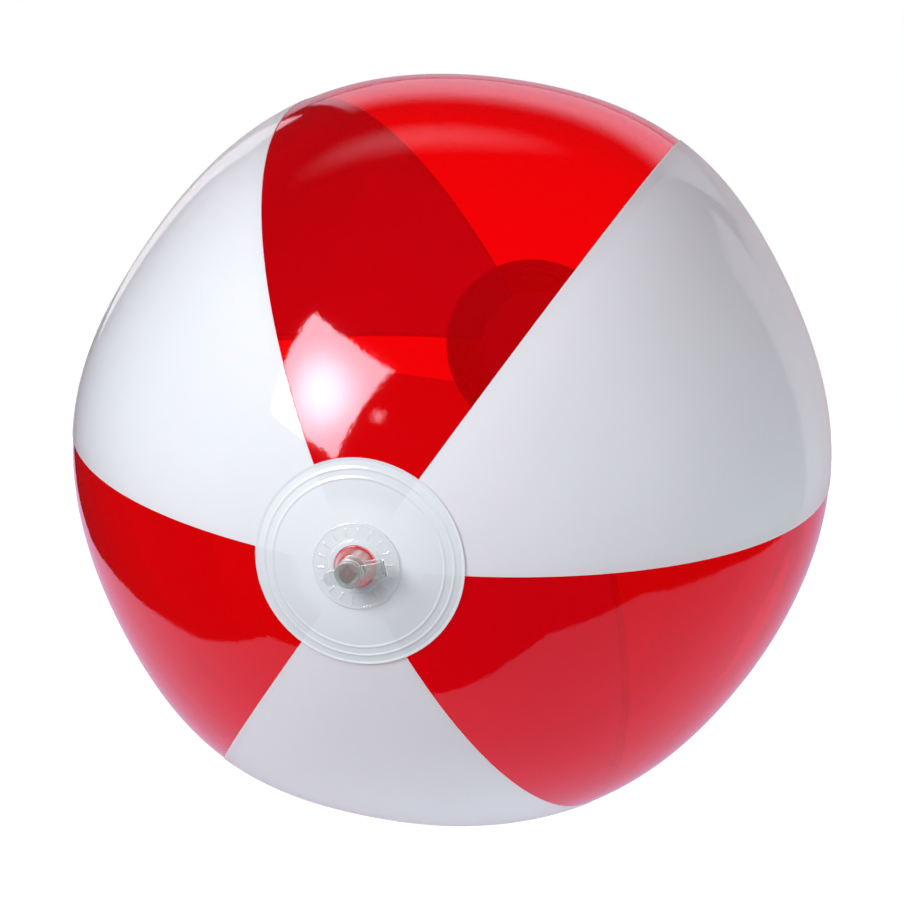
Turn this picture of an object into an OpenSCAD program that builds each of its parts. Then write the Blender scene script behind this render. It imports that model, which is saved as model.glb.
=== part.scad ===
// Inflatable beach ball: six welded vinyl panels, two end discs, and a push-in valve with a
// strapped stopper.
// The origin is the middle of the ball. The valve points along -Y, +Z is up, and +X is to the
// right of someone who looks at the valve. All sizes are in millimetres.

/* [Ball] */

// Diameter round the equator, halfway between the two end discs
ball_d = 280; // [200:5:420]
// How much longer each half is towards the end discs than the equator's radius
end_rise = 9; // [3:0.5:20]
// Width of the straight band round the equator
waist = 4; // [2:0.5:20]
// Thickness of the vinyl film
film = 0.25; // [0.15:0.05:0.6]
// Width of the lap at each seam, measured at the equator
seam_lap = 4; // [2:0.5:8]

/* [End discs] */

// Diameter of the white disc welded over each end
disc_d = 74; // [60:1:110]
// Diameter of the round opening that the panel ends leave under the disc
panel_end_d = 46; // [36:1:56]
// Distance of the outer weld bead from the disc's edge
bead_edge = 3.5; // [2:0.25:5]
// Distance between the two weld beads
bead_pitch = 3.2; // [2:0.2:5]
// Width of a weld bead
bead_w = 1; // [0.6:0.1:1.6]
// Height of a weld bead
bead_h = 0.2; // [0.1:0.05:0.4]

/* [Valve flange] */

// Diameter of the flange welded to the end disc
flange_d = 31; // [24:0.5:34]
// Thickness of the flange
flange_t = 0.8; // [0.5:0.1:1.5]
// Diameter of the hole the stem is pushed into
hole_d = 15; // [14:0.5:18]
// Width of the raised rim round the hole
rim_w = 2; // [1:0.25:3]
// Height of the raised rim above the flange
rim_h = 0.6; // [0.3:0.1:1.5]

/* [Valve stem] */

// Outside diameter of the stem
stem_d = 9.4; // [8:0.1:11]
// Diameter of the bore that air goes through
bore_d = 6.6; // [5:0.1:7]
// How far the stem can be pushed in
stem_travel = 8; // [5:0.5:10]
// How far its mouth still stands above the rim when it is pushed in
mouth_left = 0.6; // [0.4:0.1:3]
// How far the stem reaches into the ball when it is popped out
stem_in = 4; // [3:0.5:8]
// Thickness of the soft neck that rolls over when the stem is pushed in
neck_t = 0.4; // [0.3:0.05:0.8]

/* [Stopper] */

// Thickness of the stopper's head
head_t = 1.2; // [0.8:0.1:2]
// Depth of the plug
plug_l = 4; // [3:0.25:5]
// How much the plug's radius shrinks towards its tip
plug_taper = 0.8; // [0.6:0.1:1.2]
// Distance of the pull tab's end from the stem's axis
tab_reach = 8.6; // [7:0.2:10]
// Width of the pull tab
tab_w = 5.2; // [4:0.2:7]
// Width of the strap
strap_w = 5.6; // [4:0.2:7]
// Thickness of the strap
strap_t = 0.8; // [0.5:0.1:1.2]
// Distance of the strap's loop from the stem's axis
strap_reach = 13; // [12:0.5:16]
// How far the strap and the tab are turned from the level line, seen from the front
valve_turn = 17; // [-180:1:180]

/* [Hidden] */

$fn = 96;
eps = 0.01;
gap = 0.3;                                   // room between pieces that move past each other
layer = film + 0.02;                         // one film on top of another

// The side of the ball is a short straight band at the equator, then one large arc to each end.
// The middle of that arc lies beyond the valve axis, so that the ball is a little longer than it
// is wide. A smaller arc rounds off each end.
half_w = ball_d / 2 - 2 * layer;
half_l = half_w + end_rise;
arc_z = waist / 2;                           // where the band ends and the arc starts
side_r = (pow(half_l - arc_z, 2) / half_w + half_w) / 2;
side_in = side_r - half_w;
join_r = disc_d / 2;
join_z = arc_z + sqrt(side_r * side_r - (join_r + side_in) * (join_r + side_in));
cap_r = join_r * side_r / (join_r + side_in);
cap_z = arc_z + side_in * (join_z - arc_z) / (join_r + side_in);
far = 4 * side_r;
join_dir = [join_r + side_in, join_z - arc_z] / side_r;

lap_a = seam_lap / (PI * ball_d) * 360;      // lap as an angle round the valve axis
film_top = cap_z + cap_r;                    // height of the innermost film at the end
disc_top = film_top + 3 * layer;             // height of the end disc's outer face
mouth_z = disc_top + flange_t + rim_h + mouth_left + stem_travel;
foot_z = disc_top - stem_in;
neck_z = disc_top + stem_travel / 2;         // where the neck joins the stem
head_z = mouth_z + gap;
loop_r = (head_z + head_t / 2 - (neck_z + 1 + 0.7)) / 2;   // from the collar up to the head
pivot_x = strap_reach - loop_r - strap_t / 2;
pivot_z = head_z + head_t / 2 - loop_r;
flap_z = foot_z + 0.6;                       // top face of the flap when shut
flap_r = bore_d / 2 - gap;
flap_t = 0.5;
seat_t = 0.8;                                // the ring inside the bore that the flap shuts against
seat_w = 1.1;
collar_t = 1.4;                              // the ring outside the stem that carries the strap
collar_z = neck_z + 1;

red = [0.80, 0.02, 0.04];
white = [0.90, 0.91, 0.92];
clear = [0.86, 0.88, 0.88];

// Turns the valve axis from +Z to the front of the ball.
module front() { rotate([90, 0, 0]) children(); }

// The skin's cross-section in one half plane, from o_in to o_out outside the innermost film.
module skin(o_in, o_out) {
    translate([half_w + o_in, -arc_z]) square([o_out - o_in, waist]);
    for (s = [0, 1]) mirror([0, s]) intersection() {
        translate([-side_in, arc_z]) difference() {
            circle(r = side_r + o_out, $fn = 360);
            circle(r = side_r + o_in, $fn = 360);
        }
        polygon([[0, arc_z], [0, cap_z], [0, cap_z] + far * join_dir,
                 [far, cap_z + far * join_dir[1]], [far, arc_z]]);
    }
    for (s = [0, 1]) mirror([0, s]) intersection() {
        translate([0, cap_z]) difference() {
            circle(r = cap_r + o_out, $fn = 360);
            circle(r = cap_r + o_in, $fn = 360);
        }
        polygon([[0, cap_z], [0, cap_z] + far * join_dir, [0, cap_z + far]]);
    }
}

// One panel of the ball: the skin between two planes through the valve axis.
module panel(start, sweep, o_in, o_out) {
    front() rotate([0, 0, start]) rotate_extrude(angle = sweep, $fn = 360) intersection() {
        skin(o_in, o_out);
        translate([panel_end_d / 2, -far]) square([far, 2 * far]);
    }
}

// A ring of skin round one end, between two radii.
module end_ring(r_in, r_out, o_in, o_out) {
    rotate_extrude($fn = 180) intersection() {
        skin(o_in, o_out);
        translate([r_in, 0]) square([r_out - r_in, far]);
    }
}

// Red panels lie underneath at every seam and reach one lap width past it.
module red_panel(n) {
    color(red) panel(60 + 120 * n - lap_a, 60 + 2 * lap_a, 0, film);
}
module red_panel_1() { red_panel(0); }
module red_panel_2() { red_panel(1); }
module red_panel_3() { red_panel(2); }

// White panels lie on top, so their cut edge is the line that shows.
module white_panel(n) {
    color(white) panel(120 * n, 60, layer, layer + film);
}
module white_panel_1() { white_panel(0); }
module white_panel_2() { white_panel(1); }
module white_panel_3() { white_panel(2); }

// A white disc from r_in to its edge, with the two beads that the welding tool leaves.
module end_disc(r_in) {
    end_ring(r_in, disc_d / 2, 2 * layer, 2 * layer + film);
    for (r = [disc_d / 2 - bead_edge, disc_d / 2 - bead_edge - bead_pitch])
        end_ring(r - bead_w / 2, r + bead_w / 2, 2 * layer + film / 2, 2 * layer + film + bead_h);
}

// The disc over the panel ends at the valve, cut out for the neck.
module valve_end_disc() { color(white) front() end_disc(hole_d / 2); }

// The plain disc at the other end.
module blank_end_disc() { color(white) mirror([0, 1, 0]) front() end_disc(0); }

// Soft flange with a raised rim round its hole.
module valve_flange() {
    color(clear) front() {
        end_ring(hole_d / 2, flange_d / 2, 3 * layer, 3 * layer + flange_t);
        end_ring(hole_d / 2, hole_d / 2 + rim_w, 3 * layer + flange_t / 2,
                 3 * layer + flange_t + rim_h);
    }
}

// Thin cone between the rim of the hole and the stem.
module valve_neck() {
    z_rim = disc_top + 0.2;
    color(clear) front() rotate_extrude()
        polygon([[hole_d / 2 - 0.05, z_rim], [hole_d / 2 - 0.05, z_rim + 2 * neck_t],
                 [stem_d / 2 + gap + neck_t, neck_z + neck_t],
                 [stem_d / 2 + gap, neck_z + neck_t], [stem_d / 2 + gap, neck_z - neck_t]]);
}

// Tube with a collar where the neck and the strap are moulded on, and a seat for the flap.
module valve_stem() {
    color(clear) front() difference() {
        union() {
            translate([0, 0, foot_z]) cylinder(d = stem_d, h = mouth_z - foot_z);
            translate([0, 0, collar_z]) cylinder(d = stem_d + 0.8, h = collar_t);
            translate([0, 0, mouth_z - 0.8]) cylinder(d = stem_d + 0.5, h = 0.8);
        }
        translate([0, 0, foot_z - eps]) cylinder(d = bore_d, h = flap_z + gap - foot_z + eps);
        translate([0, 0, flap_z + gap + seat_t]) cylinder(d = bore_d, h = far);
        translate([0, 0, foot_z]) cylinder(d = bore_d - 2 * seat_w, h = far);
    }
}

// Thin round flap that shuts against the seat from inside the ball.
module check_flap() {
    color(clear) front() rotate([0, 0, valve_turn]) {
        translate([0, 0, flap_z - flap_t]) cylinder(r = flap_r, h = flap_t);
    }
}

// Tapered plug with a flat head and a rounded pull tab.
module stopper() {
    color(clear) front() rotate([0, 0, valve_turn]) {
        translate([0, 0, head_z - plug_l])
            cylinder(r1 = bore_d / 2 - gap - plug_taper, r2 = bore_d / 2 - gap, h = plug_l + eps);
        translate([0, 0, head_z]) cylinder(d = stem_d, h = head_t);
        translate([0, 0, head_z]) linear_extrude(head_t) union() {
            translate([-(tab_reach - tab_w / 2), -tab_w / 2]) square([tab_reach - tab_w / 2, tab_w]);
            translate([-(tab_reach - tab_w / 2), 0]) circle(d = tab_w);
        }
    }
}

// Strap that loops from the stem's collar to the stopper's head.
module stopper_strap() {
    color(clear) front() rotate([0, 0, valve_turn]) translate([0, strap_w / 2, 0])
        rotate([90, 0, 0]) linear_extrude(strap_w) {
            intersection() {
                translate([pivot_x, pivot_z]) difference() {
                    circle(r = loop_r + strap_t / 2);
                    circle(r = loop_r - strap_t / 2);
                }
                translate([pivot_x, 0]) square([far, far]);
            }
            translate([stem_d / 2 + gap, pivot_z + loop_r - strap_t / 2])
                square([pivot_x - stem_d / 2 - gap, strap_t]);
            translate([stem_d / 2 + 0.4, pivot_z - loop_r - strap_t / 2])
                square([pivot_x - stem_d / 2 - 0.4, strap_t]);
        }
}

red_panel_1();
red_panel_2();
red_panel_3();
white_panel_1();
white_panel_2();
white_panel_3();
valve_end_disc();
blank_end_disc();
valve_flange();
valve_neck();
valve_stem();
check_flap();
stopper();
stopper_strap();
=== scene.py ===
import math

import bmesh
import bpy
from mathutils import Matrix, Vector


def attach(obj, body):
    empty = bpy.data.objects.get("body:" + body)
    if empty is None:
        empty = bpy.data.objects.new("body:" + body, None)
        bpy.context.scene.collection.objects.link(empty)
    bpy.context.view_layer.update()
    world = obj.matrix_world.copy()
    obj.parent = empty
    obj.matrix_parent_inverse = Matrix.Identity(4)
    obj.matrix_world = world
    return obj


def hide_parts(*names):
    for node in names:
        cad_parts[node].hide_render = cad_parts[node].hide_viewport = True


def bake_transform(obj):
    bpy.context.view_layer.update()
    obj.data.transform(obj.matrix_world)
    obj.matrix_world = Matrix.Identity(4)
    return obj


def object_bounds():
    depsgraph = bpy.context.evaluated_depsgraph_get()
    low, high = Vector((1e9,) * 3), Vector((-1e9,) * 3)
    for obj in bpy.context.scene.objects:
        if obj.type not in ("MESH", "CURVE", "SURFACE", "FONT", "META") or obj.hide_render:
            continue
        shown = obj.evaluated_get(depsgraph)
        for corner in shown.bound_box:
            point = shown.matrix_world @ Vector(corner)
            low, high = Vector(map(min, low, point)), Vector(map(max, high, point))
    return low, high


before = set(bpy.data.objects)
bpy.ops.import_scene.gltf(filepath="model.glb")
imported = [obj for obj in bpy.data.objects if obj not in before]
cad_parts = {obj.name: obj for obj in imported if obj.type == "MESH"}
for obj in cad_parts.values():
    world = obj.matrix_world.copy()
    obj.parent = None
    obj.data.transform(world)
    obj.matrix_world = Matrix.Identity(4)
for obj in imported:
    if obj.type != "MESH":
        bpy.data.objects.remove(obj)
cad_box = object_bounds()

# ---------------------------------------------------------------------------------------------
# The ball skin: six welded vinyl panels, three clear red and three opaque white, each cut as a
# gore that runs from one end disc to the other. The red ones lie underneath, and each white one
# is welded over them, so its cut edge is the seam line.
# ---------------------------------------------------------------------------------------------
FILM = 0.00025                    # thickness of the vinyl
LAYER = 0.00027                   # one film on top of another
HALF_WIDTH = 0.140 - 2 * LAYER    # the skin's inside, out from the valve axis
LONGER = 0.009                    # how much further the side's curve reaches along the axis
ARC_Y = 0.002                     # half the straight band round the equator
SIDE_RADIUS = ((HALF_WIDTH + LONGER - ARC_Y) ** 2 / HALF_WIDTH + HALF_WIDTH) / 2
SIDE_IN = SIDE_RADIUS - HALF_WIDTH
DISC_RADIUS = 0.037
JOIN_Y = ARC_Y + math.sqrt(SIDE_RADIUS ** 2 - (DISC_RADIUS + SIDE_IN) ** 2)
CAP_RADIUS = DISC_RADIUS * SIDE_RADIUS / (DISC_RADIUS + SIDE_IN)
CAP_Y = ARC_Y + SIDE_IN * (JOIN_Y - ARC_Y) / (DISC_RADIUS + SIDE_IN)
PANEL_END_RADIUS = 0.023
STEPS_ACROSS = 36                 # strips across one panel; a lap is one strip wide
STRIP = math.radians(60 / STEPS_ACROSS)
SIDE_STEPS, CAP_STEPS = 42, 8     # points along each half of the side, and under each disc
VALVE_AXIS = Vector((0, -1, 0))

# How far the pressed-out skin stands from a true circle, in mm: at each seam, and between them.
SEAM_STANDS = (0.15, -2.6, 1.1, -1.6, 0.85, -2.45, 1.75, 0.07, 3.1, -0.2, 1.1, -1.4)
ALL_ROUND = -1.0                  # and the same everywhere
FREE_FROM, FREE_OVER = 0.002, 0.062   # the disc holds the skin round; out from it this fades in


def sweep_point(bm, vert, centre, axis, angle, steps):
    """Draws an arc from a point and gives back the point where it ends."""
    made = bmesh.ops.spin(bm, geom=[vert], cent=centre, axis=axis, dvec=(0, 0, 0),
                          angle=angle, steps=steps, use_merge=False, use_normal_flip=False)
    return [g for g in made["geom_last"] if isinstance(g, bmesh.types.BMVert)][0]


def film_line(bm, out, end_radius):
    """The cut line of a film from near the valve to the other end, out from the inner skin."""
    cap, side = CAP_RADIUS + out, SIDE_RADIUS + out
    end_y = math.sqrt(cap ** 2 - end_radius ** 2)
    start = bm.verts.new((end_radius, -CAP_Y - end_y, 0))
    lean = math.atan2(end_radius, end_y)
    join = math.atan2(DISC_RADIUS, JOIN_Y - CAP_Y)
    half = math.atan2(JOIN_Y - ARC_Y, DISC_RADIUS + SIDE_IN)
    z = (0, 0, 1)
    point = sweep_point(bm, start, (0, -CAP_Y, 0), z, join - lean, CAP_STEPS)
    point = sweep_point(bm, point, (-SIDE_IN, -ARC_Y, 0), z, half, SIDE_STEPS)
    point = bmesh.ops.extrude_vert_indiv(bm, verts=[point])["verts"][0]
    point.co.y = ARC_Y
    point = sweep_point(bm, point, (-SIDE_IN, ARC_Y, 0), z, half, SIDE_STEPS)
    sweep_point(bm, point, (0, CAP_Y, 0), z, join - lean, CAP_STEPS)


def ease(t):
    """0 up to 0, 1 from 1 on, and a smooth rise between."""
    t = min(max(t, 0), 1)
    return t * t * (3 - 2 * t)


def stands_out(co):
    """Distance the air pressure moves a point of the skin out from the true round shape."""
    angle = math.degrees(math.atan2(co.z, co.x)) % 360 / 30
    low = int(angle) % 12
    t = (1 - math.cos(math.pi * (angle - int(angle)))) / 2
    here = SEAM_STANDS[low] * (1 - t) + SEAM_STANDS[(low + 1) % 12] * t
    reach = math.hypot(co.x, co.z)
    return (here + ALL_ROUND) * 0.001 * ease((reach - DISC_RADIUS - FREE_FROM) / FREE_OVER)


def press_out(bm):
    """Moves every point of a film to where the air inside holds it."""
    for v in bm.verts:
        side = Vector((v.co.x, 0, v.co.z))
        if side.length > 1e-6:
            v.co += side.normalized() * stands_out(v.co)


def turn_line(bm, angle, steps):
    """Turns a drawn line round the valve axis into a surface, closed after a full turn."""
    bmesh.ops.spin(bm, geom=bm.edges[:] + bm.verts[:], cent=(0, 0, 0), axis=VALVE_AXIS,
                   dvec=(0, 0, 0), angle=angle, steps=steps, use_merge=angle == math.tau,
                   use_normal_flip=False)


def to_object(bm, name, material, body, smooth_angle=35):
    bmesh.ops.recalc_face_normals(bm, faces=bm.faces)
    mesh = bpy.data.meshes.new(name)
    bm.to_mesh(mesh)
    bm.free()
    piece = bpy.data.objects.new(name, mesh)
    bpy.context.scene.collection.objects.link(piece)
    mesh.materials.append(material)
    for face in mesh.polygons:
        face.use_smooth = True
    mesh.set_sharp_from_angle(angle=math.radians(smooth_angle))
    if body:
        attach(piece, body)
    return piece


def give_film_thickness(bm):
    """Turns one sheet into a closed film; the sheet stays as its outer face."""
    bmesh.ops.recalc_face_normals(bm, faces=bm.faces)
    face = max(bm.faces, key=lambda f: f.calc_center_median().length)
    if face.normal.dot(face.calc_center_median()) < 0:
        bmesh.ops.reverse_faces(bm, faces=bm.faces)
    bmesh.ops.solidify(bm, geom=bm.faces, thickness=FILM)


def new_material(name):
    material = bpy.data.materials.new(name)
    material.use_nodes = True
    tree = material.node_tree
    tree.nodes.clear()
    return material, tree


def node(tree, kind, inputs=None, **settings):
    n = tree.nodes.new(kind)
    for key, value in settings.items():
        setattr(n, key, value)
    for key, value in (inputs or {}).items():
        n.inputs[key].default_value = value
    return n


def vinyl_grain_group():
    """Soft orange-peel of calendered vinyl, and the faint patches where it has been handled."""
    tree = bpy.data.node_groups.new("vinyl_grain", "ShaderNodeTree")
    face = tree.interface
    for name, low in (("Peel", 1.0), ("Gloss", 0.06)):
        face.new_socket(name, in_out="INPUT", socket_type="NodeSocketFloat").default_value = low
    face.new_socket("Height", in_out="OUTPUT", socket_type="NodeSocketFloat")
    face.new_socket("Roughness", in_out="OUTPUT", socket_type="NodeSocketFloat")
    face.new_socket("Patch", in_out="OUTPUT", socket_type="NodeSocketFloat")
    put = tree.links.new
    inside = node(tree, "NodeGroupInput")
    outside = node(tree, "NodeGroupOutput")
    place = node(tree, "ShaderNodeTexCoord")
    fine = node(tree, "ShaderNodeTexNoise", {"Scale": 620.0, "Detail": 2.0, "Roughness": 0.5})
    slow = node(tree, "ShaderNodeTexNoise", {"Scale": 95.0, "Detail": 1.0, "Roughness": 0.4})
    wide = node(tree, "ShaderNodeTexNoise", {"Scale": 14.0, "Detail": 2.0, "Roughness": 0.5})
    for texture in (fine, slow, wide):
        put(place.outputs["Object"], texture.inputs["Vector"])
    both = node(tree, "ShaderNodeMath", {1: 3.2}, operation="MULTIPLY")
    put(slow.outputs["Fac"], both.inputs[0])
    total = node(tree, "ShaderNodeMath", operation="ADD")
    put(fine.outputs["Fac"], total.inputs[0])
    put(both.outputs[0], total.inputs[1])
    height = node(tree, "ShaderNodeMath", operation="MULTIPLY")
    put(total.outputs[0], height.inputs[0])
    put(inside.outputs["Peel"], height.inputs[1])
    put(height.outputs[0], outside.inputs["Height"])
    spread = node(tree, "ShaderNodeMapRange",
                  {"From Min": 0.3, "From Max": 0.7, "To Min": 0.75, "To Max": 1.4})
    put(wide.outputs["Fac"], spread.inputs["Value"])
    rough = node(tree, "ShaderNodeMath", operation="MULTIPLY")
    put(spread.outputs["Result"], rough.inputs[0])
    put(inside.outputs["Gloss"], rough.inputs[1])
    put(rough.outputs[0], outside.inputs["Roughness"])
    put(wide.outputs["Fac"], outside.inputs["Patch"])
    return tree


GRAIN = vinyl_grain_group()


def grain(tree, peel, gloss, depth):
    """Places the grain in a material; gives the group and a Bump node driven by it."""
    group = node(tree, "ShaderNodeGroup", node_tree=GRAIN)
    group.inputs["Peel"].default_value = peel
    group.inputs["Gloss"].default_value = gloss
    bump = node(tree, "ShaderNodeBump", {"Strength": 1.0, "Distance": depth})
    tree.links.new(group.outputs["Height"], bump.inputs["Height"])
    return group, bump


def tone(tree, source, low, high):
    """A colour that drifts between two close tones."""
    ramp = node(tree, "ShaderNodeMix", data_type="RGBA")
    ramp.inputs["A"].default_value = (*low, 1)
    ramp.inputs["B"].default_value = (*high, 1)
    tree.links.new(source, ramp.inputs["Factor"])
    return ramp.outputs["Result"]


def clear_film_output(tree, group, bump, inner, shine_colour):
    """Puts a glossy face on a see-through film. Its far face adds nothing: a film tints once."""
    put = tree.links.new
    shine = node(tree, "ShaderNodeBsdfGlossy", {"Color": shine_colour})
    put(group.outputs["Roughness"], shine.inputs["Roughness"])
    put(bump.outputs["Normal"], shine.inputs["Normal"])
    mirror = node(tree, "ShaderNodeFresnel", {"IOR": 1.53})
    put(bump.outputs["Normal"], mirror.inputs["Normal"])
    near = node(tree, "ShaderNodeMixShader")
    put(mirror.outputs[0], near.inputs[0])
    put(inner.outputs[0], near.inputs[1])
    put(shine.outputs[0], near.inputs[2])
    far = node(tree, "ShaderNodeBsdfTransparent", {"Color": (1, 1, 1, 1)})
    side = node(tree, "ShaderNodeNewGeometry")
    both = node(tree, "ShaderNodeMixShader")
    put(side.outputs["Backfacing"], both.inputs[0])
    put(near.outputs[0], both.inputs[1])
    put(far.outputs[0], both.inputs[2])
    out = node(tree, "ShaderNodeOutputMaterial")
    put(both.outputs[0], out.inputs["Surface"])


def red_vinyl():
    """Clear red film: a red filter with a little pigment, under a glossy face."""
    material, tree = new_material("red_vinyl")
    put = tree.links.new
    group, bump = grain(tree, 1.0, 0.055, 0.000015)
    clear = node(tree, "ShaderNodeBsdfTransparent", {"Color": (0.97, 0.0, 0.006, 1)})
    body = node(tree, "ShaderNodeBsdfPrincipled",
                {"Specular IOR Level": 0.0, "IOR": 1.53})
    put(tone(tree, group.outputs["Patch"], (0.80, 0.0, 0.004), (0.86, 0.0, 0.006)),
        body.inputs["Base Color"])
    put(group.outputs["Roughness"], body.inputs["Roughness"])
    put(bump.outputs["Normal"], body.inputs["Normal"])
    inner = node(tree, "ShaderNodeMixShader", {0: 0.14})
    put(clear.outputs[0], inner.inputs[1])
    put(body.outputs[0], inner.inputs[2])
    clear_film_output(tree, group, bump, inner, (1.0, 0.81, 0.96, 1))
    return material


def white_vinyl():
    """Opaque white film that lets a little light through."""
    material, tree = new_material("white_vinyl")
    put = tree.links.new
    group, bump = grain(tree, 1.0, 0.06, 0.000012)
    skin = node(tree, "ShaderNodeBsdfPrincipled",
                {"IOR": 1.53, "Specular IOR Level": 0.5})
    put(tone(tree, group.outputs["Patch"], (0.665, 0.775, 0.82), (0.695, 0.805, 0.85)),
        skin.inputs["Base Color"])
    put(group.outputs["Roughness"], skin.inputs["Roughness"])
    put(bump.outputs["Normal"], skin.inputs["Normal"])
    glow = node(tree, "ShaderNodeBsdfTranslucent", {"Color": (0.80, 0.88, 0.91, 1)})
    mix = node(tree, "ShaderNodeMixShader", {0: 0.5})
    put(skin.outputs[0], mix.inputs[1])
    put(glow.outputs[0], mix.inputs[2])
    out = node(tree, "ShaderNodeOutputMaterial")
    put(mix.outputs[0], out.inputs["Surface"])
    return material


RED_VINYL = red_vinyl()
WHITE_VINYL = white_vinyl()


def weld_panel(name, start_strip, strips, out, material):
    bm = bmesh.new()
    film_line(bm, out, PANEL_END_RADIUS)
    bmesh.ops.rotate(bm, verts=bm.verts, cent=(0, 0, 0),
                     matrix=Matrix.Rotation(start_strip * STRIP, 3, VALVE_AXIS))
    turn_line(bm, strips * STRIP, strips)
    bmesh.ops.remove_doubles(bm, verts=bm.verts, dist=1e-6)
    press_out(bm)
    give_film_thickness(bm)
    piece = to_object(bm, name + "_film", material, "ball")
    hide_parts(name)
    return piece


for n in range(3):
    weld_panel(f"red_panel_{n + 1}", (60 + 120 * n) * STEPS_ACROSS // 60 - 1,
               STEPS_ACROSS + 2, FILM, RED_VINYL)
    weld_panel(f"white_panel_{n + 1}", 120 * n * STEPS_ACROSS // 60,
               STEPS_ACROSS, LAYER + FILM, WHITE_VINYL)

# ---------------------------------------------------------------------------------------------
# The end discs: milky vinyl welded over the panel ends. The welding tool leaves two low beads
# near the edge, and painted shade makes the disc darker over the sectors where red panel ends lie
# beneath.
# ---------------------------------------------------------------------------------------------
BEAD_EDGE, BEAD_PITCH, BEAD_WIDTH = 0.0035, 0.0032, 0.00042
BEAD_HEIGHT = 0.00028
EDGE_LIFT, EDGE_FROM, EDGE_OVER = 0.0003, 0.0011, 0.0009   # the cut edge stands up a little
HOLE_RADIUS = 0.0075
DISC_RINGS, DISC_SPOKES = 130, 216


def milky_vinyl(name, light_through):
    material, tree = new_material(name)
    put = tree.links.new
    group, bump = grain(tree, 0.8, 0.07, 0.000006)
    place = node(tree, "ShaderNodeTexCoord")
    parts = node(tree, "ShaderNodeSeparateXYZ")
    put(place.outputs["Object"], parts.inputs[0])
    # Which sector: a red end lies under every second one.
    turn = node(tree, "ShaderNodeMath", operation="ARCTAN2")
    put(parts.outputs["Z"], turn.inputs[0])
    put(parts.outputs["X"], turn.inputs[1])
    three = node(tree, "ShaderNodeMath", {1: 3.0}, operation="MULTIPLY")
    put(turn.outputs[0], three.inputs[0])
    wave = node(tree, "ShaderNodeMath", operation="SINE")
    put(three.outputs[0], wave.inputs[0])
    red_under = node(tree, "ShaderNodeMapRange",
                     {"From Min": 0.012, "From Max": -0.012, "To Min": 0.0, "To Max": 1.0})
    put(wave.outputs[0], red_under.inputs["Value"])
    # Only where the ends reach, outside the round opening.
    flat = node(tree, "ShaderNodeCombineXYZ")
    put(parts.outputs["X"], flat.inputs["X"])
    put(parts.outputs["Z"], flat.inputs["Z"])
    reach = node(tree, "ShaderNodeVectorMath", operation="LENGTH")
    put(flat.outputs[0], reach.inputs[0])
    under = node(tree, "ShaderNodeMapRange",
                 {"From Min": PANEL_END_RADIUS - 0.004, "From Max": PANEL_END_RADIUS + 0.003,
                  "To Min": 0.0, "To Max": 1.0},
                 interpolation_type="SMOOTHSTEP")
    put(reach.outputs["Value"], under.inputs["Value"])
    both = node(tree, "ShaderNodeMath", operation="MULTIPLY")
    put(red_under.outputs["Result"], both.inputs[0])
    put(under.outputs["Result"], both.inputs[1])
    # Painted shade: the disc's colour is darker over the sectors where a red panel end lies
    # beneath.
    shade = node(tree, "ShaderNodeMix", data_type="RGBA")
    shade.inputs["A"].default_value = (0.61, 0.635, 0.68, 1)
    shade.inputs["B"].default_value = (0.56, 0.585, 0.63, 1)
    put(both.outputs[0], shade.inputs["Factor"])
    skin = node(tree, "ShaderNodeBsdfPrincipled", {"IOR": 1.53})
    put(shade.outputs["Result"], skin.inputs["Base Color"])
    put(group.outputs["Roughness"], skin.inputs["Roughness"])
    put(bump.outputs["Normal"], skin.inputs["Normal"])
    glow = node(tree, "ShaderNodeBsdfTranslucent", {"Color": (0.60, 0.76, 0.79, 1)})
    mix = node(tree, "ShaderNodeMixShader", {0: light_through})
    put(skin.outputs[0], mix.inputs[1])
    put(glow.outputs[0], mix.inputs[2])
    out = node(tree, "ShaderNodeOutputMaterial")
    put(mix.outputs[0], out.inputs["Surface"])
    return material


MILKY_VINYL = milky_vinyl("milky_vinyl", 0.22)
MILKY_VINYL_LIT = milky_vinyl("milky_vinyl_lit", 0.42)   # the lamps shine through this one


def bead_rise(reach):
    """Height of the two weld beads, and of the edge, at a distance from the valve axis."""
    rise = 0
    for centre in (DISC_RADIUS - BEAD_EDGE, DISC_RADIUS - BEAD_EDGE - BEAD_PITCH):
        rise += BEAD_HEIGHT * math.exp(-((reach - centre) / BEAD_WIDTH) ** 2)
    return rise + EDGE_LIFT * ease((reach - DISC_RADIUS + EDGE_FROM) / EDGE_OVER)


def weld_disc(name, end_radius, to_back, material):
    bm = bmesh.new()
    cap = CAP_RADIUS + (2 * LAYER + FILM)
    end_y = math.sqrt(cap ** 2 - end_radius ** 2)
    lean = math.atan2(end_radius, end_y)
    edge = math.asin(DISC_RADIUS / cap)
    start = bm.verts.new((end_radius, -CAP_Y - end_y, 0))
    sweep_point(bm, start, (0, -CAP_Y, 0), (0, 0, 1), edge - lean, DISC_RINGS)
    turn_line(bm, math.tau, DISC_SPOKES)
    bmesh.ops.remove_doubles(bm, verts=bm.verts, dist=1e-6)
    give_film_thickness(bm)
    for v in bm.verts:
        v.co.y -= bead_rise(math.hypot(v.co.x, v.co.z))
    if to_back:
        bmesh.ops.scale(bm, verts=bm.verts, vec=(1, -1, 1))
    piece = to_object(bm, name + "_film", material, "ball")
    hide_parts(name)
    return piece


weld_disc("valve_end_disc", HOLE_RADIUS, False, MILKY_VINYL)
weld_disc("blank_end_disc", 0.0, True, MILKY_VINYL_LIT)

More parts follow.
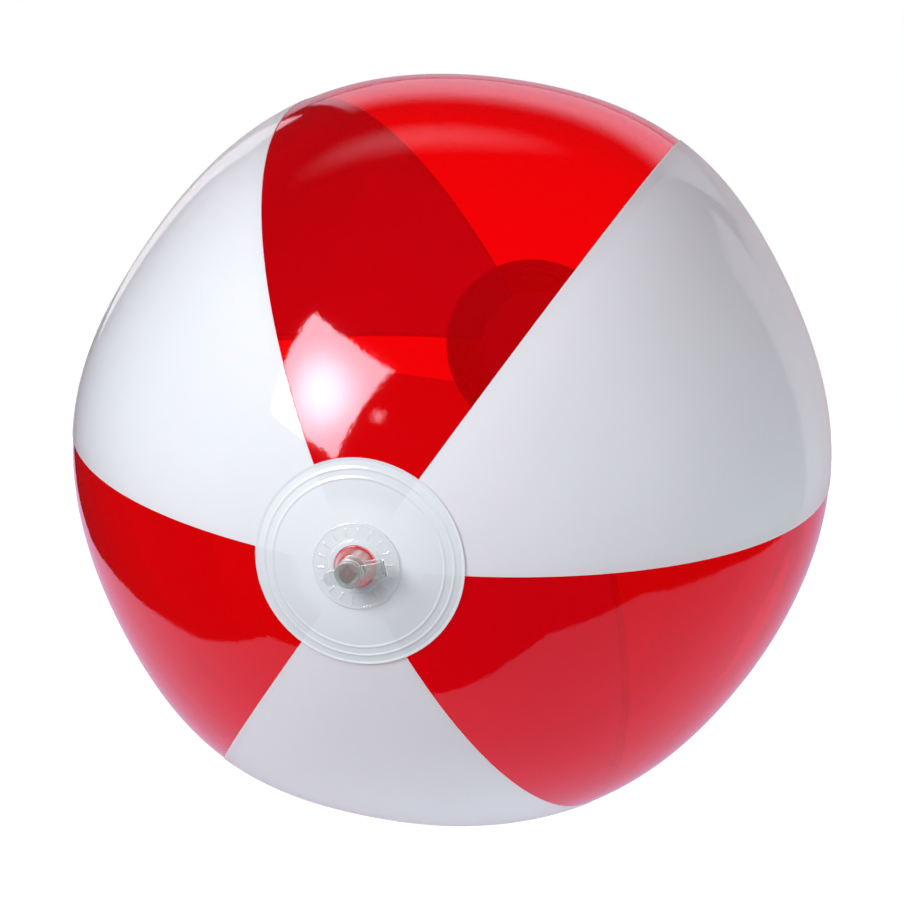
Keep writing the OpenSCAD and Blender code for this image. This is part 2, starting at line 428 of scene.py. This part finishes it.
# ---------------------------------------------------------------------------------------------
# The valve: a clear soft vinyl moulding welded over the hole in the disc. A flat flange with a
# raised rim carries a thin neck, and the stem pops out of it to be blown into.
# ---------------------------------------------------------------------------------------------
FILM_TOP = CAP_Y + CAP_RADIUS
DISC_TOP = FILM_TOP + 3 * LAYER
FLANGE_RADIUS, FLANGE_THICK = 0.0155, 0.0008
RIM_WIDTH, RIM_HEIGHT = 0.002, 0.0006
STEM_RADIUS, BORE_RADIUS = 0.0047, 0.0033
MOUTH = DISC_TOP + FLANGE_THICK + RIM_HEIGHT + 0.0006 + 0.008
FOOT = DISC_TOP - 0.004
NECK = DISC_TOP + 0.004
CLEARANCE = 0.0003
COLLAR = 0.0004                   # how far the stem's collar stands out
FLAP_LOW, FLAP_TOP = FOOT + 0.0001, FOOT + 0.0006

# How far a face turns away before the painted dark band, and then the painted bright rim, begin and
# are full.
PAINTED_SHADE_TURN, PAINTED_HIGHLIGHT_TURN = (0.10, 0.28), (0.36, 0.58)


def clear_vinyl(name, tint, low, high, painted_shade_band, rim, share_low, share_high):
    """Clear soft vinyl: see-through face on, then a band of painted shade, and a painted highlight
    at its edges.
    """
    material, tree = new_material(name)
    put = tree.links.new
    group, bump = grain(tree, 1.0, 0.08, 0.00001)
    clear = node(tree, "ShaderNodeBsdfTransparent", {"Color": (*tint, 1)})
    edge = node(tree, "ShaderNodeLayerWeight", {"Blend": 0.3})
    put(bump.outputs["Normal"], edge.inputs["Normal"])
    colour = tone(tree, group.outputs["Patch"], low, high)
    # Painted shade in a band, then a painted highlight at the rim, laid into the colour by how far
    # the face turns away.
    for shade, (start, full) in ((painted_shade_band, PAINTED_SHADE_TURN), (rim, PAINTED_HIGHLIGHT_TURN)):
        turned = node(tree, "ShaderNodeMapRange", {"From Min": start, "From Max": full},
                      interpolation_type="SMOOTHSTEP")
        put(edge.outputs["Facing"], turned.inputs["Value"])
        layer = node(tree, "ShaderNodeMix", data_type="RGBA")
        layer.inputs["B"].default_value = (*shade, 1)
        put(turned.outputs["Result"], layer.inputs["Factor"])
        put(colour, layer.inputs["A"])
        colour = layer.outputs["Result"]
    haze = node(tree, "ShaderNodeBsdfPrincipled", {"IOR": 1.53})
    put(colour, haze.inputs["Base Color"])
    put(group.outputs["Roughness"], haze.inputs["Roughness"])
    put(bump.outputs["Normal"], haze.inputs["Normal"])
    share = node(tree, "ShaderNodeMapRange", {"From Min": 0.1, "From Max": 0.5,
                                              "To Min": share_low, "To Max": share_high})
    put(edge.outputs["Facing"], share.inputs["Value"])
    inner = node(tree, "ShaderNodeMixShader")
    put(share.outputs["Result"], inner.inputs[0])
    put(clear.outputs[0], inner.inputs[1])
    put(haze.outputs[0], inner.inputs[2])
    clear_film_output(tree, group, bump, inner, (0.8, 0.8, 0.8, 1))
    return material


# The fifth and sixth arguments below are the painted shade of the dark band and the painted
# highlight of the rim.
CLEAR_FLANGE = clear_vinyl("clear_vinyl_flange", (1, 1, 1), (0.84, 0.87, 0.91), (0.90, 0.93, 0.97),
                           (0.55, 0.57, 0.60), (0.95, 0.96, 0.98), 0.22, 0.6)
CLEAR_THIN = clear_vinyl("clear_vinyl_film", (0.98, 0.98, 0.98), (0.70, 0.72, 0.74),
                         (0.80, 0.82, 0.84), (0.45, 0.46, 0.47), (0.90, 0.91, 0.92), 0.03, 0.4)
CLEAR_STEM = clear_vinyl("clear_vinyl_stem", (0.68, 0.76, 0.76), (0.26, 0.28, 0.28),
                         (0.38, 0.40, 0.40), (0.10, 0.11, 0.11), (0.84, 0.86, 0.86), 0.55, 0.9)
CLEAR_SOFT = clear_vinyl("clear_vinyl_stopper", (0.86, 0.90, 0.90), (0.30, 0.32, 0.32),
                         (0.42, 0.44, 0.44), (0.13, 0.14, 0.14), (0.96, 0.98, 0.98), 0.30, 0.9)


def turn_moulding(name, profile, round_over, material, body, steps=96, smooth_angle=35):
    """Turns a closed outline round the valve axis; (distance from axis, height) in metres."""
    bm = bmesh.new()
    ring = [bm.verts.new((r, -h, 0)) for r, h in profile]
    for a, b in zip(ring, ring[1:] + ring[:1]):
        bm.edges.new((a, b))
    turn_line(bm, math.tau, steps)
    bmesh.ops.remove_doubles(bm, verts=bm.verts, dist=2e-7)
    bmesh.ops.recalc_face_normals(bm, faces=bm.faces)
    if round_over:
        corners = [e for e in bm.edges if len(e.link_faces) == 2
                   and e.calc_face_angle(0) > math.radians(30)]
        bmesh.ops.bevel(bm, geom=corners, offset=round_over, segments=3, profile=0.5,
                        affect="EDGES", material=-1, clamp_overlap=True)
    return to_object(bm, name, material, body, smooth_angle)


# Flange: follows the curve of the disc, with a rounded raised rim round the hole.
def disc_height(reach):
    return CAP_Y + math.sqrt((CAP_RADIUS + 3 * LAYER) ** 2 - reach ** 2)


flange_under = [HOLE_RADIUS + (FLANGE_RADIUS - HOLE_RADIUS) * i / 40 for i in range(41)]
flange_under = [(r, disc_height(r)) for r in flange_under]
rim_outer = HOLE_RADIUS + RIM_WIDTH
flange_over = [(r, h + FLANGE_THICK) for r, h in reversed(flange_under) if r > rim_outer + 2e-4]
rim = [(rim_outer, disc_height(rim_outer) + FLANGE_THICK),
       (rim_outer - 0.0002, disc_height(rim_outer) + FLANGE_THICK + RIM_HEIGHT),
       (HOLE_RADIUS, disc_height(HOLE_RADIUS) + FLANGE_THICK + RIM_HEIGHT)]
flange = turn_moulding("valve_flange_moulding", flange_under + flange_over + rim, 0.00018,
                       CLEAR_FLANGE, "ball", steps=360)
# A bead runs round the outside, and short ribs raised in the mould point outwards from the hole.
BEAD_IN, FLANGE_BEAD, FLANGE_BEAD_WIDTH = 0.0005, 0.0003, 0.00035
RIB_TURN, RIB_MIDDLE, RIB_HALF = 20, 0.0121, 0.00155
RIB_HEIGHT, RIB_WIDTH, RIB_END = 0.0005, 0.00025, 0.0003
for v in flange.data.vertices:
    reach = math.hypot(v.co.x, v.co.z)
    if -v.co.y > disc_height(reach) + FLANGE_THICK * 0.6 and reach > rim_outer + 0.0003:
        off = (reach - FLANGE_RADIUS + BEAD_IN) / FLANGE_BEAD_WIDTH
        rise = FLANGE_BEAD * math.exp(-off ** 2)
        angle = math.degrees(math.atan2(v.co.z, v.co.x)) % RIB_TURN - RIB_TURN / 2
        across = math.radians(angle) * reach / RIB_WIDTH
        along = min(max((RIB_HALF - abs(reach - RIB_MIDDLE)) / RIB_END, 0), 1)
        v.co.y -= rise + RIB_HEIGHT * math.exp(-across ** 2) * along
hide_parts("valve_flange")

# Neck: thin rolled cone that turns inside out as the stem is pushed in.
neck_line = []
NECK_FILM, NECK_SLACK, NECK_STEPS = 0.0004, 0.00005, 12
for i in range(NECK_STEPS + 1):
    t = i / NECK_STEPS
    r = HOLE_RADIUS - NECK_SLACK + (STEM_RADIUS + COLLAR - HOLE_RADIUS) * t
    neck_line.append((r, DISC_TOP + NECK_FILM + (NECK - DISC_TOP - NECK_FILM) * ease(t)))
neck = turn_moulding("valve_neck_film",
                     neck_line + [(r, h + NECK_FILM) for r, h in reversed(neck_line)],
                     0, CLEAR_THIN, None)
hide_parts("valve_neck")
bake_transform(neck)

# Stem: tube with a rolled lip, a collar, and the seat of the flap inside the bore.
COLLAR_LOW, COLLAR_TOP = NECK + 0.001, NECK + 0.0024
LIP_LOW, LIP = MOUTH - 0.0008, 0.00025
SEAT_LOW = FLAP_TOP + CLEARANCE
SEAT_TOP, SEAT_IN = SEAT_LOW + 0.0008, 0.0011
stem_profile = [
    (STEM_RADIUS, FOOT), (STEM_RADIUS, COLLAR_LOW), (STEM_RADIUS + COLLAR, COLLAR_LOW),
    (STEM_RADIUS + COLLAR, COLLAR_TOP), (STEM_RADIUS, COLLAR_TOP),
    (STEM_RADIUS, LIP_LOW), (STEM_RADIUS + LIP, LIP_LOW),
    (STEM_RADIUS + LIP, MOUTH), (BORE_RADIUS, MOUTH),
    (BORE_RADIUS, SEAT_TOP), (BORE_RADIUS - SEAT_IN, SEAT_TOP),
    (BORE_RADIUS - SEAT_IN, SEAT_LOW), (BORE_RADIUS, SEAT_LOW), (BORE_RADIUS, FOOT),
]
stem = turn_moulding("valve_stem_moulding", stem_profile, 0.00014, CLEAR_STEM, "stem")
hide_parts("valve_stem")

# Flap: a thin soft disc that shuts against the seat from inside the ball.
flap_radius = BORE_RADIUS - CLEARANCE
flap = turn_moulding("check_flap_disc",
                     [(0, FLAP_LOW), (flap_radius, FLAP_LOW),
                      (flap_radius, FLAP_TOP), (0, FLAP_TOP)],
                     0.0001, CLEAR_THIN, "flap", steps=64)
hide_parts("check_flap")

# ---------------------------------------------------------------------------------------------
# The stopper and its strap: one soft moulding in the real valve. The tapered plug shuts the
# stem, the tab is pulled to open it, and the strap loops back to the stem's collar.
# ---------------------------------------------------------------------------------------------
HEAD_THICK, PLUG_LENGTH, PLUG_TAPER = 0.0012, 0.004, 0.0008
TAB_REACH, TAB_ROOT, TAB_WIDTH = 0.0086, 0.001, 0.0052
STRAP_WIDTH, STRAP_THICK, STRAP_REACH = 0.0056, 0.0008, 0.013
HEAD = MOUTH + CLEARANCE
LOWER_ARM = NECK + 0.0017         # height of the strap's start, at the middle of the collar
LOOP_RADIUS = (HEAD + HEAD_THICK / 2 - LOWER_ARM) / 2
PIVOT_X = STRAP_REACH - LOOP_RADIUS - STRAP_THICK / 2
PIVOT = HEAD + HEAD_THICK / 2 - LOOP_RADIUS
VALVE_TURN = Matrix.Rotation(math.radians(17), 3, VALVE_AXIS)


def apply_modifiers(piece):
    bpy.context.view_layer.update()
    mesh = bpy.data.meshes.new_from_object(piece.evaluated_get(
        bpy.context.evaluated_depsgraph_get()))
    piece.modifiers.clear()
    piece.data = mesh


def joined(base, other):
    """Welds one closed shape to another and removes what was inside."""
    cut = base.modifiers.new("weld", "BOOLEAN")
    cut.operation, cut.solver, cut.object = "UNION", "EXACT", other
    apply_modifiers(base)
    bpy.data.objects.remove(other)
    return base


def soften(piece, cell, rounds):
    """Gives a joined shape the rounded edges of a moulding."""
    grid = piece.modifiers.new("grid", "REMESH")
    grid.mode, grid.voxel_size, grid.use_smooth_shade = "VOXEL", cell, True
    rounding = piece.modifiers.new("rounding", "SMOOTH")
    rounding.factor, rounding.iterations = 0.5, rounds
    apply_modifiers(piece)
    for face in piece.data.polygons:
        face.use_smooth = True
    return piece


def pull(bm, faces, vec, steps):
    """Extrudes the open end of the strap along a line."""
    for _ in range(steps):
        made = bmesh.ops.extrude_face_region(bm, geom=faces)
        verts = [g for g in made["geom"] if isinstance(g, bmesh.types.BMVert)]
        bmesh.ops.translate(bm, verts=verts, vec=Vector(vec) / steps)
        bmesh.ops.delete(bm, geom=faces, context="FACES_ONLY")
        faces = [g for g in made["geom"] if isinstance(g, bmesh.types.BMFace)]
    return faces


plug_tip = BORE_RADIUS - CLEARANCE - PLUG_TAPER
stopper = turn_moulding("stopper_moulding",
                        [(0, HEAD - PLUG_LENGTH), (plug_tip, HEAD - PLUG_LENGTH),
                         (BORE_RADIUS - CLEARANCE, HEAD), (STEM_RADIUS, HEAD),
                         (STEM_RADIUS, HEAD + HEAD_THICK), (0, HEAD + HEAD_THICK)],
                        0, CLEAR_SOFT, None, steps=64)
bm = bmesh.new()
bmesh.ops.create_cube(bm, size=1)
bmesh.ops.scale(bm, verts=bm.verts, vec=(TAB_REACH - TAB_ROOT, HEAD_THICK * 0.96, TAB_WIDTH))
bmesh.ops.translate(bm, verts=bm.verts,
                    vec=(-(TAB_REACH + TAB_ROOT) / 2, -HEAD - HEAD_THICK / 2, 0))
uprights = [e for e in bm.edges if abs((e.verts[0].co - e.verts[1].co).y) > HEAD_THICK * 0.9
            and e.verts[0].co.x < -TAB_REACH / 2]
bmesh.ops.bevel(bm, geom=uprights, offset=TAB_WIDTH * 0.48, segments=10, profile=0.5,
                affect="EDGES", material=-1)
tab = to_object(bm, "tab_blank", CLEAR_SOFT, None)
stopper = soften(joined(stopper, tab), 0.00014, 4)
stopper.data.transform(VALVE_TURN.to_4x4())
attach(stopper, "stopper")
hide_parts("stopper")

# Strap: from the collar outwards, round a loop, and back to the stopper's head.
bm = bmesh.new()
bmesh.ops.create_grid(bm, x_segments=2, y_segments=4, size=0.5)
bmesh.ops.scale(bm, verts=bm.verts, vec=(STRAP_THICK, STRAP_WIDTH, 1))
bmesh.ops.rotate(bm, verts=bm.verts, matrix=Matrix(((0, 0, 1), (1, 0, 0), (0, 1, 0))))
bmesh.ops.translate(bm, verts=bm.verts, vec=(STEM_RADIUS + COLLAR, -LOWER_ARM, 0))
kept = bmesh.ops.duplicate(bm, geom=bm.faces[:])
end_faces = [g for g in kept["geom"] if isinstance(g, bmesh.types.BMFace)]
end_faces = pull(bm, end_faces, (PIVOT_X - STEM_RADIUS - COLLAR, 0, 0), 8)
made = bmesh.ops.spin(bm, geom=end_faces, cent=(PIVOT_X, -PIVOT, 0), axis=(0, 0, -1),
                      dvec=(0, 0, 0), angle=math.pi, steps=20, use_merge=False,
                      use_normal_flip=False)
bmesh.ops.delete(bm, geom=end_faces, context="FACES_ONLY")
end_faces = [g for g in made["geom_last"] if isinstance(g, bmesh.types.BMFace)]
pull(bm, end_faces, (-(PIVOT_X - STEM_RADIUS + 0.0003), 0, 0), 8)
bmesh.ops.remove_doubles(bm, verts=bm.verts, dist=1e-6)
strap = to_object(bm, "stopper_strap_moulding", CLEAR_SOFT, None)
strap = soften(strap, 0.00012, 3)
strap.data.transform(VALVE_TURN.to_4x4())
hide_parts("stopper_strap")
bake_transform(strap)

# ---------------------------------------------------------------------------------------------
# The studio: a white table, a pale room, one square softbox at the upper left with a small lamp
# beside it, and white paper behind. The ball rests on the table.
# ---------------------------------------------------------------------------------------------
CENTRE_DISTANCE = 1.686
azimuth, elevation, roll = (math.radians(a) for a in (11.93, 17.25, 4.31))
back = Vector((math.sin(azimuth) * math.cos(elevation),
               -math.cos(azimuth) * math.cos(elevation), math.sin(elevation)))
right = Vector((math.cos(azimuth), math.sin(azimuth), 0))
up = back.cross(right)
cam_x = right * math.cos(roll) + up * math.sin(roll)
cam_y = back.cross(cam_x)
camera_data = bpy.data.cameras.new("camera")
camera_data.sensor_width, camera_data.lens = 36.0, 180.9
camera_data.shift_x, camera_data.shift_y = -0.0032, -0.0034
camera_data.clip_start = 0.01
camera = bpy.data.objects.new("camera", camera_data)
bpy.context.scene.collection.objects.link(camera)
camera.matrix_world = Matrix((
    (cam_x.x, cam_y.x, back.x, back.x * CENTRE_DISTANCE),
    (cam_x.y, cam_y.y, back.y, back.y * CENTRE_DISTANCE),
    (cam_x.z, cam_y.z, back.z, back.z * CENTRE_DISTANCE),
    (0, 0, 0, 1)))
bpy.context.scene.camera = camera


def glowing_table():
    """White table top that glows, with painted light brightest at the left, under the softbox."""
    material, tree = new_material("table_white")
    put = tree.links.new
    place = node(tree, "ShaderNodeTexCoord")
    parts = node(tree, "ShaderNodeSeparateXYZ")
    put(place.outputs["Object"], parts.inputs[0])
    # Painted light: the glow the films reflect fades from bright at the left to dimmer at the
    # right, in place of the softbox's pool of light.
    level = node(tree, "ShaderNodeMapRange",
                 {"From Min": -0.3, "From Max": 0.35, "To Min": 0.85, "To Max": 0.55})
    put(parts.outputs["X"], level.inputs["Value"])
    painted_light_in_gloss = node(tree, "ShaderNodeEmission", {"Color": (0.95, 0.88, 1.08, 1)})
    put(level.outputs["Result"], painted_light_in_gloss.inputs["Strength"])
    lit = node(tree, "ShaderNodeEmission", {"Color": (0.96, 0.98, 1.0, 1), "Strength": 1.5})
    seen = node(tree, "ShaderNodeEmission", {"Color": (1, 1, 1, 1), "Strength": 1.1})
    dim = node(tree, "ShaderNodeEmission", {"Color": (1, 1, 1, 1), "Strength": 0.62})
    path = node(tree, "ShaderNodeLightPath")
    through = node(tree, "ShaderNodeMath", {1: 0.5}, operation="GREATER_THAN")
    put(path.outputs["Transparent Depth"], through.inputs[0])
    # Seen through the films it keeps its own brightness; seen straight it is paper white.
    direct = node(tree, "ShaderNodeMixShader")
    put(through.outputs[0], direct.inputs[0])
    put(seen.outputs[0], direct.inputs[1])
    put(dim.outputs[0], direct.inputs[2])
    bounce = node(tree, "ShaderNodeMixShader")
    put(path.outputs["Is Glossy Ray"], bounce.inputs[0])
    put(lit.outputs[0], bounce.inputs[1])
    put(painted_light_in_gloss.outputs[0], bounce.inputs[2])
    mix = node(tree, "ShaderNodeMixShader")
    put(path.outputs["Is Camera Ray"], mix.inputs[0])
    put(bounce.outputs[0], mix.inputs[1])
    put(direct.outputs[0], mix.inputs[2])
    out = node(tree, "ShaderNodeOutputMaterial")
    put(mix.outputs[0], out.inputs["Surface"])
    return material


bm = bmesh.new()
corners = [(0.047, -0.182), (0.185, -0.208), (0.349, -0.150), (0.433, 0.031), (0.430, 0.550),
           (-0.400, 0.550), (-0.290, 0.210), (-0.266, 0.128), (-0.253, 0.051), (-0.233, -0.009),
           (-0.198, -0.076), (-0.167, -0.122), (-0.143, -0.162), (-0.120, -0.202), (-0.083, -0.208)]
bm.faces.new([bm.verts.new((x, y, cad_box[0][2] - 0.0005)) for x, y in corners])
table = to_object(bm, "table", glowing_table(), None)
if table.data.polygons[0].normal.z < 0:
    table.data.flip_normals()


FAR = 1.2                         # how far from the ball the lamps stand


def toward(az, el):
    """A point seen from the ball in a direction: 0 is towards the viewer, + is to the right."""
    az, el = math.radians(az), math.radians(el)
    return Vector((math.sin(az) * math.cos(el), -math.cos(az) * math.cos(el),
                   math.sin(el))) * FAR


def panel_of_light(name, corners, watts, tint=(1, 1, 1)):
    """A rectangular lamp that fills the directions between four corners, facing the ball."""
    points = [toward(*c) for c in corners]
    middle = sum(points, Vector()) / 4
    along = ((points[1] - points[0]) + (points[2] - points[3])) / 2
    across = ((points[3] - points[0]) + (points[2] - points[1])) / 2
    z = middle.normalized()
    x = (along - z * along.dot(z)).normalized()
    y = z.cross(x)
    data = bpy.data.lights.new(name, "AREA")
    data.shape = "RECTANGLE"
    data.size = along.length
    data.size_y = abs(across.dot(y))
    data.energy = watts
    data.color = tint
    lamp = bpy.data.objects.new(name, data)
    bpy.context.scene.collection.objects.link(lamp)
    lamp.matrix_world = Matrix(((x.x, y.x, z.x, middle.x), (x.y, y.y, z.y, middle.y),
                                (x.z, y.z, z.z, middle.z), (0, 0, 0, 1)))
    lamp.visible_camera = False
    return lamp


def fade_lamp(lamp, u, v, near, far, inner, outer):
    """Makes a lamp brightest round one spot of its face; None fades along one direction only."""
    lamp.data.use_nodes = True
    tree = lamp.data.node_tree
    tree.nodes.clear()
    place = node(tree, "ShaderNodeNewGeometry")
    parts = node(tree, "ShaderNodeSeparateXYZ")
    tree.links.new(place.outputs["Parametric"], parts.inputs[0])
    apart = node(tree, "ShaderNodeCombineXYZ")
    for axis, spot in (("X", u), ("Y", v)):
        if spot is not None:
            off = node(tree, "ShaderNodeMath", {1: spot}, operation="SUBTRACT")
            tree.links.new(parts.outputs[axis], off.inputs[0])
            tree.links.new(off.outputs[0], apart.inputs[axis])
    far_off = node(tree, "ShaderNodeVectorMath", operation="LENGTH")
    tree.links.new(apart.outputs[0], far_off.inputs[0])
    level = node(tree, "ShaderNodeMapRange", {"From Min": inner, "From Max": outer,
                                              "To Min": near, "To Max": far},
                 interpolation_type="SMOOTHSTEP")
    tree.links.new(far_off.outputs["Value"], level.inputs["Value"])
    glow = node(tree, "ShaderNodeEmission")
    out = node(tree, "ShaderNodeOutputLight")
    tree.links.new(level.outputs["Result"], glow.inputs["Strength"])
    tree.links.new(glow.outputs[0], out.inputs["Surface"])


softbox = panel_of_light("softbox", [(-48, 19), (-48, 47), (-11, 44), (-22, 13)], 18)
fade_lamp(softbox, 0.45, 0.45, 1.7, 0.72, 0.0, 0.55)
small = panel_of_light("small_lamp", [(-13, 27), (-13, 31), (-9, 31), (-9, 27)], 0.09)
fade_lamp(small, 0.5, 0.5, 1.2, 0.2, 0.1, 0.6)
paper = panel_of_light("paper_behind", [(-150, 10), (155, 10), (165, 36), (-155, 36)], 1.2,
                       (0.9, 0.95, 1.0))
fade_lamp(paper, None, 1.0, 1.0, 0.0, 0.5, 1.0)
panel_of_light("paper_low", [(-150, -22), (-150, 10), (155, 10), (155, -22)], 1.3,
               (0.95, 0.97, 1.0))
strip = panel_of_light("strip_above", [(-118, 33), (-118, 51), (163, 65), (163, 46)], 0.75)
fade_lamp(strip, 0.5, 0.5, 1.0, 0.0, 0.0, 0.5)
panel_of_light("paper_right", [(155, 20), (140, 20), (140, -15), (155, -15)], 0.5)
panel_of_light("paper_left", [(-150, -8), (-150, 18), (-140, 18), (-140, -8)], 0.5)
# Light that the walls of the room give back: broad, and too even to show in the gloss.
HALF_ACROSS, HALF_UP = 24, 20
for name, az, el, watts in (("bounce_right", 85, 8, 9), ("bounce_front", 5, 8, 4),
                            ("bounce_left", -95, 10, 1.5), ("bounce_back", 178, 12, 14)):
    left, right = az - HALF_ACROSS, az + HALF_ACROSS
    low, high = el - HALF_UP, el + HALF_UP
    fill = panel_of_light(name, [(left, low), (left, high), (right, high), (right, low)], watts)
    fill.visible_glossy = False
    fill.visible_transmission = False

world = bpy.data.worlds.new("room")
world.use_nodes = True
bpy.context.scene.world = world
tree = world.node_tree
tree.nodes.clear()
room = node(tree, "ShaderNodeBackground", {"Color": (0.02, 0.02, 0.022, 1), "Strength": 1.0})
pale = node(tree, "ShaderNodeBackground", {"Color": (1, 1, 1, 1), "Strength": 1.0})
path = node(tree, "ShaderNodeLightPath")
mix = node(tree, "ShaderNodeMixShader")
out = node(tree, "ShaderNodeOutputWorld")
tree.links.new(path.outputs["Is Camera Ray"], mix.inputs[0])
tree.links.new(room.outputs[0], mix.inputs[1])
tree.links.new(pale.outputs[0], mix.inputs[2])
tree.links.new(mix.outputs[0], out.inputs["Surface"])
bpy.context.scene.view_settings.view_transform = "Standard"
